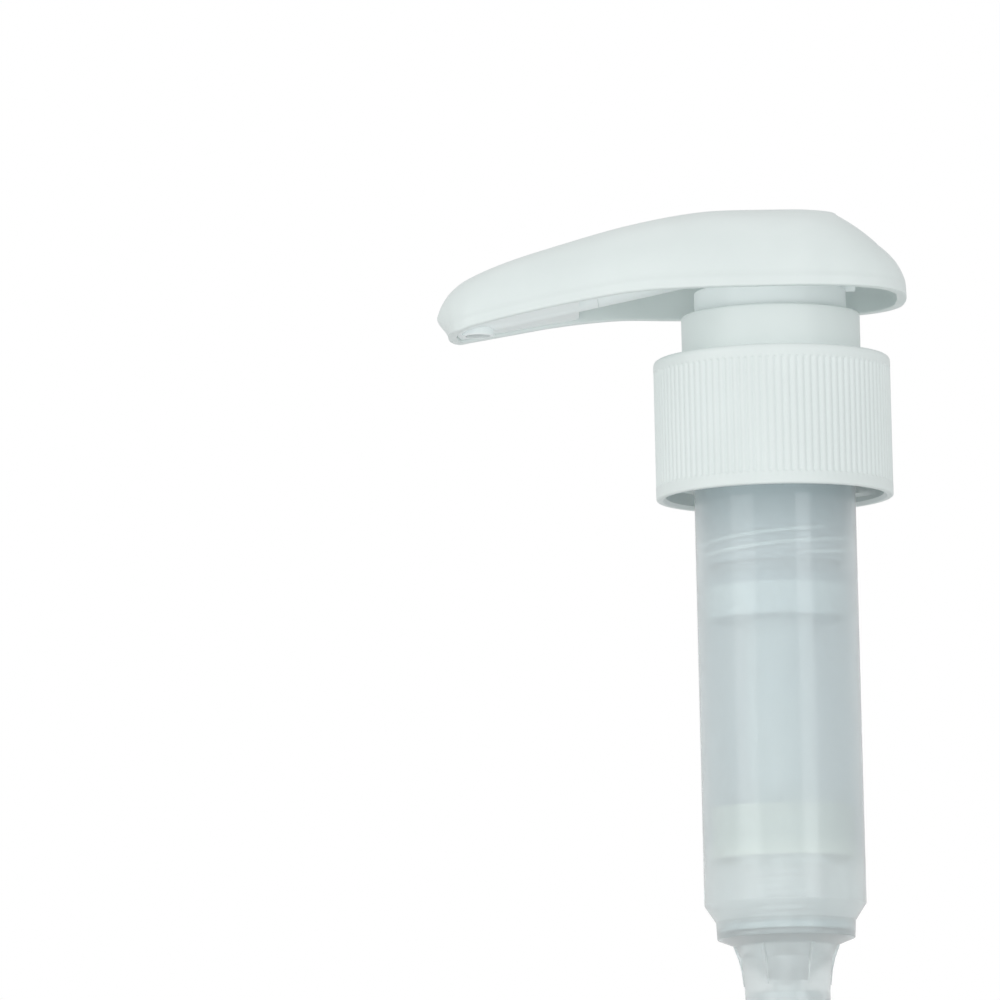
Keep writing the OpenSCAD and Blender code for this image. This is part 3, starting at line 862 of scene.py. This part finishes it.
def cover_section(u, inset):
    """Half of an arch across the cover, from the crown down to the +Y rim, and the rim's own sizes.

    The nose leans: its lower points lie further back than the crown. Behind the middle, the sides
    follow a softer line than the crown, so that the thumb pad's edge fades out down the sides.
    """
    band_height, side_wall, pad_front, pad_back = 2, 1.13, -12, 23
    crown = crown_at(u)
    point = crown - crown_normal(u) * inset
    edge = curve(LOWER_EDGE, point.x)
    half = max(0, curve(HALF_WIDTH, crown.x) - inset * side_wall)
    band = min(band_height, 0.3 * (point.y - edge))
    lean = curve(NOSE_LEAN, crown.x)
    shifts = (-5, -2.5, 0, 2.5, 5)
    soft = sum(curve(CROWN, crown.x + shift) for shift in shifts) / len(shifts) - crown.y
    soft *= ease((crown.x - pad_front) / 12) * ease((pad_back - crown.x) / 6)

    def along(rise):
        return point.x + lean * (1 - ease(rise / (point.y - edge)))

    steps = 36
    arch = []
    for k in range(steps + 1):
        turn = pi / 2 * k / steps
        top = point.y + soft * ease(1.2 * sin(turn))
        rise = band + (top - edge - band) * swell(cos(turn))
        arch.append((along(rise), half * swell(sin(turn)), edge + rise))
    return arch, along, half, edge, band


def cover_profile(u):
    """The +Y half of the cover's wall at u: down the outside, round the lip and up the inside."""
    outside, along, half, edge, band = cover_section(u, 0)
    inside, along_in, half_in, edge_in, _ = cover_section(u, SHELL_WALL)
    lip, flare, steps = min(0.35, 0.4 * band, 0.45 * half), 0.12, 5
    proud = half + flare * ease(half / 3)
    rows = [(along(rise), proud, edge + rise) for rise in (band - 0.2, 0.7 * band)]
    for k in range(steps + 1):
        turn = pi / 2 * k / steps
        rise = lip - lip * sin(turn)
        rows.append((along(rise), proud - lip + lip * cos(turn), edge + rise))
    lip_in = min(lip, 0.3 * (proud - half_in))
    rows.append(((along(0) + along_in(0)) / 2, (proud + half_in) / 2, (edge + edge_in) / 2))
    for k in range(steps + 1):
        turn = pi / 2 * k / steps
        rise = lip_in - lip_in * cos(turn)
        rows.append((along_in(rise), half_in + lip_in - lip_in * sin(turn), edge_in + rise))
    return outside + rows + inside[::-1]


def make_cover():
    """The head's cover: a thin smooth shell with a plain band and a rounded lip round its foot."""
    stations = 168
    points, faces = [], []
    for i in range(stations + 1):
        profile = cover_profile((len(CROWN) - 1) * i / stations)
        points += profile + [(x, -y, z) for x, y, z in profile]
    count = len(profile)
    for i in range(stations):
        for side in (0, count):
            a, b = 2 * count * i + side, 2 * count * (i + 1) + side
            faces += [(a + k, a + k + 1, b + k + 1, b + k) for k in range(count - 1)]
    for a in (0, 2 * count * stations):
        faces += [(a + k, a + k + 1, a + count + k + 1, a + count + k) for k in range(count - 1)]
    cover = build("head_shell", points, faces, crease=50)
    cover.visible_shadow = False
    finish_piece(cover, "head_cover", WHITE, "head")


# ---------------------------------------------------------------- spout base and insert
# (x, z) of the ends of the outlet tube's axis; then tilts in degrees and lengths along the axis.
ROOT, ELBOW = (0.0, 28.2), (-51.3, 18.0)
OUTLET_TILT = degrees(atan2(ELBOW[1] - ROOT[1], ROOT[0] - ELBOW[0]))
OUTLET_LEN = hypot(ELBOW[0] - ROOT[0], ELBOW[1] - ROOT[1])
TUBE_JOINT = 0.6 * OUTLET_LEN
NOZZLE_TILT, NOZZLE_LEN = -90, 4.2


def orb(name, radius, at):
    """A ball, centred at (x, z) in the plane of the spout."""
    rows = 32
    arc = [(radius * sin(pi * k / rows), -radius * cos(pi * k / rows), 0) for k in range(rows + 1)]
    return placed(lathe(name, arc, segments=64), at, tilt=0)


def make_spout_base():
    """Stem socket, lock skirt with its thread, stiffening ribs and the outlet tube's upper end."""
    hub_top, hub_low, wall_top, socket_bore = 32.1, 12, RIM_Z + 1.9, STEM_R + 0.02
    band_r, wall_bore, skirt_bore, lock_starts = 13.3, 12.2, 11.2, 2
    base = lathe("spout_core", [
        (0, hub_top, 0), (HUB_R, hub_top, 0.5), (HUB_R, RIM_Z, 0.4), (wall_bore, RIM_Z, 0.4),
        (wall_bore, wall_top, 0.3), (band_r, wall_top, 0.3), (band_r, 16.2, 0.2),
        (SKIRT_R, 15.6, 0.3), (SKIRT_R, 8, 0.3), (skirt_bore, 8.2, 0.3), (skirt_bore, 17, 0.4),
        (HUB_R, 17, 0.4), (HUB_R, hub_low, 0.4), (socket_bore, hub_low, 0.3),
        (socket_bore, STEM_TOP, 0), (STEM_BORE, STEM_TOP, 0), (STEM_BORE, 31, 0.4), (0, 31, 0)])
    ribs = [block(f"rib_{turn}", size=(8.6, 1.2, 6.3), centre=(10.7, 0, RIM_Z + 4.85), turn=turn,
                  bevel=0.25)
            for turn in (0, 90, 270)]
    tube = placed(rod("tube", HUB_R - 2, TUBE_JOINT, TUBE_R, fillet=0.25), ROOT, OUTLET_TILT)
    combine(base, "UNION", *ribs, tube)
    combine(base, "DIFFERENCE",
            placed(rod("bore", 3, TUBE_JOINT + 1, TUBE_BORE), ROOT, OUTLET_TILT))
    windings = [thread(f"skirt_thread_{i}", SKIRT_R, crest=13.28, half=0.55, start=8.9,
                       lead=LOCK_THREAD_LEAD, turns=0.95, phase=tau * i / lock_starts + 0.4,
                       fade=0.1)
                for i in range(lock_starts)]
    merge(base, *windings)
    finish_piece(base, "spout_base", BASE, "head")


def make_insert():
    """The floor inside the cover's edge, the outlet tube's lower end, and the nozzle.

    first and last are the floor's ends in crown_at's measure. Its lower face is rise above the
    cover's lower edge, and gap is its distance to the cover's inner wall.
    """
    first, last, thick, gap, count = 0.3, 5.2, 1.4, 0.05, 44
    rise, taper, nozzle_r = 0.5, 0.35, NOZZLE_BORE + 0.6
    loops = []
    for i in range(count + 1):
        share = i / count
        _, along, half, edge, _ = cover_section(first + (last - first) * share, SHELL_WALL)
        shrink = taper * (1 - ease(min(share, 1 - share) * count / 2))
        low, high = edge + rise + shrink / 2, edge + rise + thick - shrink / 2
        side = half - gap - shrink
        outline = rounded([(y, z, 0.35) for y, z in (
            (side, low), (side, high), (-side, high), (-side, low))])
        loops.append([(along(0), y, z) for y, z in outline])
    insert = loft("spout_floor", loops)
    spigot_r = TUBE_BORE - 0.02
    combine(insert, "UNION",
            placed(rod("spigot", TUBE_JOINT - 4, OUTLET_LEN, spigot_r, fillet=0.2),
                   ROOT, OUTLET_TILT),
            placed(rod("lower_tube", TUBE_JOINT, OUTLET_LEN, TUBE_R), ROOT, OUTLET_TILT),
            orb("elbow", TUBE_R - 0.02, ELBOW),
            placed(rod("nozzle", 0, NOZZLE_LEN, nozzle_r, fillet=0.2), ELBOW, NOZZLE_TILT))
    combine(insert, "DIFFERENCE",
            placed(rod("spigot_bore", TUBE_JOINT - 5, TUBE_JOINT + 1, spigot_r - 0.7),
                   ROOT, OUTLET_TILT),
            placed(rod("lower_bore", TUBE_JOINT + 0.5, OUTLET_LEN, TUBE_BORE), ROOT, OUTLET_TILT),
            orb("elbow_bore", TUBE_BORE - 0.02, ELBOW),
            placed(rod("nozzle_bore", 0, NOZZLE_LEN + 1, NOZZLE_BORE), ELBOW, NOZZLE_TILT))
    finish_piece(insert, "spout_insert", BASE, "head")


make_cap()
make_gasket()
make_collar()
make_guide()
make_housing()
make_dip_tube()
make_ball("inlet_valve_ball", "inlet_ball", "inlet_valve")
make_cage()
make_spring()
make_piston()
make_seat()
make_stem()
make_ball("discharge_valve_ball", "discharge_ball", "discharge_valve")
make_cover()
make_spout_base()
make_insert()
